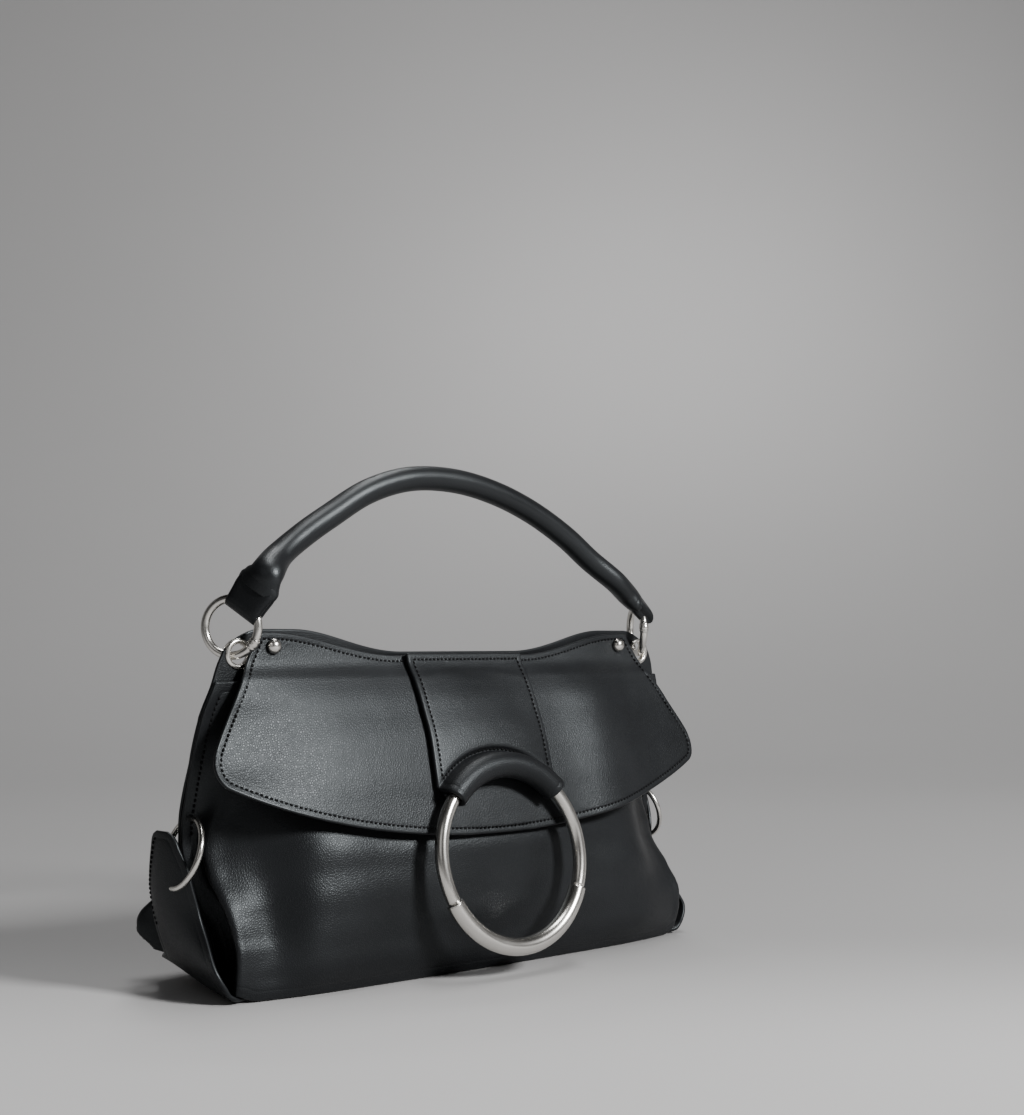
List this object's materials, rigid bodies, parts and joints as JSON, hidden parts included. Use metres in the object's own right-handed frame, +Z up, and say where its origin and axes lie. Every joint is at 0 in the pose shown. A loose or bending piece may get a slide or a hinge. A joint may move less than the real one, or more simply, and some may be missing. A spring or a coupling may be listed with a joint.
{
  "type": "shoulder bag",
  "caption": "Soft black leather shoulder bag with a flared flap, a centre strap looped round a large metal ring, a rolled handle on rings and a base turned up at both ends.",
  "frame": {"origin": "middle of the base's underside, on the surface that the bag stands on", "axes": "+X along the bag's width, to the right seen from the front; -Y out of the front; +Z up"},
  "size_m": [0.3735, 0.144, 0.2935],
  "materials": {
    "black_leather": "smooth semi-gloss grain",
    "satin_nickel": "satin"
  },
  "bodies": {
    "bag": {"front_panel": "black_leather", "back_panel": "black_leather", "base_panel": "black_leather", "flap": "black_leather", "centre_strap": "black_leather", "handle": "black_leather", "handle_ring_left": "satin_nickel", "eyelet_left": "satin_nickel", "flap_stud_left": "satin_nickel", "side_ring_left": "satin_nickel", "handle_ring_right": "satin_nickel", "eyelet_right": "satin_nickel", "flap_stud_right": "satin_nickel", "side_ring_right": "satin_nickel"},
    "ring": {"front_ring": "satin_nickel"}
  },
  "joints": [
    {"name": "ring_turn", "type": "hinge", "parent": "bag", "child": "ring", "pos_m": [-0.0015, -0.07, 0.0671], "axis": [0, -0.9816, 0.1908], "range_deg": [-56, 56]}
  ]
}
